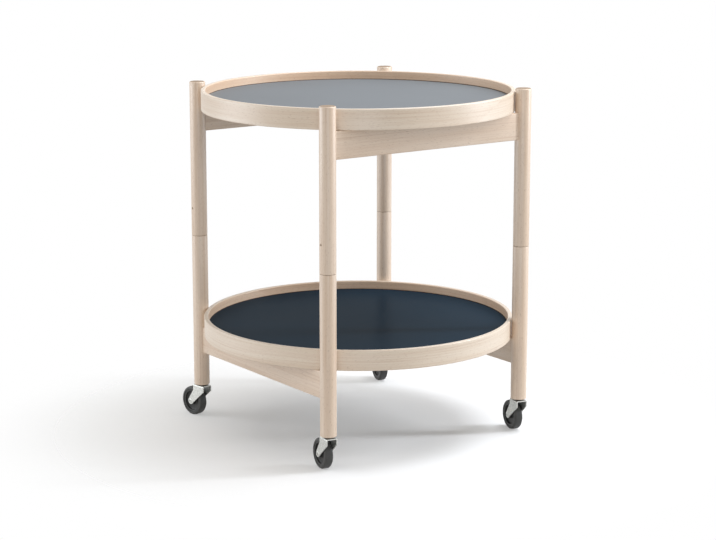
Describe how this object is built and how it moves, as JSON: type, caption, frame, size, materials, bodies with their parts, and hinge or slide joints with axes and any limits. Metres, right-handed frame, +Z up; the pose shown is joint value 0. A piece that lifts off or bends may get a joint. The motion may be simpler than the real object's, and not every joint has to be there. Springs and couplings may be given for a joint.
{
  "type": "tray table",
  "caption": "Round tray table on castors: lift-off trays with bent-wood rims held between split, pivoting turned legs that fold flat once the trays are out.",
  "frame": {"origin": "on the floor under the middle of the trays, where the castor wheels touch it", "axes": "+Z up; +X along the top rails, left to right; +Y along the bottom rails, front to back"},
  "size_m": [0.5, 0.5, 0.5601],
  "materials": {
    "beech": "clear satin lacquer",
    "core_board": "raw board",
    "grey_laminate": "satin",
    "navy_laminate": "satin",
    "steel": "bright drawn",
    "dowel": "end grain, flush",
    "zinc_steel": "bright zinc",
    "socket_plastic": "matt",
    "wheel_plastic": "satin",
    "tyre_rubber": "satin"
  },
  "bodies": {
    "left_bottom_frame": {"left_bottom_rail": "beech", "front_left_lower_leg": "beech", "front_left_castor_socket": "socket_plastic", "back_left_lower_leg": "beech", "back_left_castor_socket": "socket_plastic"},
    "right_bottom_frame": {"right_bottom_rail": "beech", "front_right_lower_leg": "beech", "front_right_castor_socket": "socket_plastic", "back_right_lower_leg": "beech", "back_right_castor_socket": "socket_plastic"},
    "front_top_frame": {"front_top_rail": "beech", "front_left_upper_leg": "beech", "front_left_pivot_pin": "steel", "front_left_cross_pin": "dowel", "front_right_upper_leg": "beech", "front_right_pivot_pin": "steel", "front_right_cross_pin": "dowel"},
    "back_top_frame": {"back_top_rail": "beech", "back_left_upper_leg": "beech", "back_left_pivot_pin": "steel", "back_left_cross_pin": "dowel", "back_right_upper_leg": "beech", "back_right_pivot_pin": "steel", "back_right_cross_pin": "dowel"},
    "upper_tray": {"upper_tray_rim": "beech", "upper_tray_core": "core_board", "upper_tray_grey_laminate": "grey_laminate", "upper_tray_navy_laminate": "navy_laminate"},
    "lower_tray": {"lower_tray_rim": "beech", "lower_tray_core": "core_board", "lower_tray_navy_laminate": "navy_laminate", "lower_tray_grey_laminate": "grey_laminate"},
    "front_left_castor": {"front_left_castor_fork": "zinc_steel", "front_left_castor_stem": "zinc_steel", "front_left_castor_axle": "zinc_steel"},
    "front_left_castor_roller": {"front_left_castor_wheel": "wheel_plastic", "front_left_castor_tyre": "tyre_rubber"},
    "front_right_castor": {"front_right_castor_fork": "zinc_steel", "front_right_castor_stem": "zinc_steel", "front_right_castor_axle": "zinc_steel"},
    "front_right_castor_roller": {"front_right_castor_wheel": "wheel_plastic", "front_right_castor_tyre": "tyre_rubber"},
    "back_left_castor": {"back_left_castor_fork": "zinc_steel", "back_left_castor_stem": "zinc_steel", "back_left_castor_axle": "zinc_steel"},
    "back_left_castor_roller": {"back_left_castor_wheel": "wheel_plastic", "back_left_castor_tyre": "tyre_rubber"},
    "back_right_castor": {"back_right_castor_fork": "zinc_steel", "back_right_castor_stem": "zinc_steel", "back_right_castor_axle": "zinc_steel"},
    "back_right_castor_roller": {"back_right_castor_wheel": "wheel_plastic", "back_right_castor_tyre": "tyre_rubber"}
  },
  "joints": [
    {"name": "front_left_pivot", "type": "hinge", "parent": "left_bottom_frame", "child": "front_top_frame", "pos_m": [-0.18629, -0.18629, 0.3079], "axis": [0, 0, 1], "range_deg": [-0.1, 0.1]},
    {"name": "back_left_pivot", "type": "hinge", "parent": "left_bottom_frame", "child": "back_top_frame", "pos_m": [-0.18629, 0.18629, 0.3079], "axis": [0, 0, 1], "range_deg": [-0.1, 0.1]},
    {"name": "front_right_pivot", "type": "hinge", "parent": "front_top_frame", "child": "right_bottom_frame", "pos_m": [0.18629, -0.18629, 0.3079], "axis": [0, 0, 1], "range_deg": [-0.1, 0.1]},
    {"name": "upper_tray_lift", "type": "slide", "parent": "front_top_frame", "child": "upper_tray", "axis": [0, 0, 1], "range_m": [0, 0.15]},
    {"name": "lower_tray_lift", "type": "slide", "parent": "left_bottom_frame", "child": "lower_tray", "axis": [0, 0, 1], "range_m": [0, 0.285]},
    {"name": "front_left_swivel", "type": "hinge", "parent": "left_bottom_frame", "child": "front_left_castor", "pos_m": [-0.18629, -0.18629, 0.0541], "axis": [0, 0, 1], "continuous": true},
    {"name": "front_left_wheel_spin", "type": "hinge", "parent": "front_left_castor", "child": "front_left_castor_roller", "pos_m": [-0.18324, -0.16703, 0.024], "axis": [-0.9877, 0.1564, 0], "continuous": true},
    {"name": "front_right_swivel", "type": "hinge", "parent": "right_bottom_frame", "child": "front_right_castor", "pos_m": [0.18629, -0.18629, 0.0541], "axis": [0, 0, 1], "continuous": true},
    {"name": "front_right_wheel_spin", "type": "hinge", "parent": "front_right_castor", "child": "front_right_castor_roller", "pos_m": [0.19034, -0.16721, 0.024], "axis": [-0.9781, 0.2079, 0], "continuous": true},
    {"name": "back_left_swivel", "type": "hinge", "parent": "left_bottom_frame", "child": "back_left_castor", "pos_m": [-0.18629, 0.18629, 0.0541], "axis": [0, 0, 1], "continuous": true},
    {"name": "back_left_wheel_spin", "type": "hinge", "parent": "back_left_castor", "child": "back_left_castor_roller", "pos_m": [-0.18984, 0.20546, 0.024], "axis": [-0.9833, -0.1822, 0], "continuous": true},
    {"name": "back_right_swivel", "type": "hinge", "parent": "right_bottom_frame", "child": "back_right_castor", "pos_m": [0.18629, 0.18629, 0.0541], "axis": [0, 0, 1], "continuous": true},
    {"name": "back_right_wheel_spin", "type": "hinge", "parent": "back_right_castor", "child": "back_right_castor_roller", "pos_m": [0.19101, 0.20521, 0.024], "axis": [-0.9703, 0.2419, 0], "continuous": true}
  ],
  "couplings": [
    {"joint": "back_left_pivot", "follows": "front_left_pivot", "ratio": 1},
    {"joint": "front_right_pivot", "follows": "front_left_pivot", "ratio": -1}
  ]
}
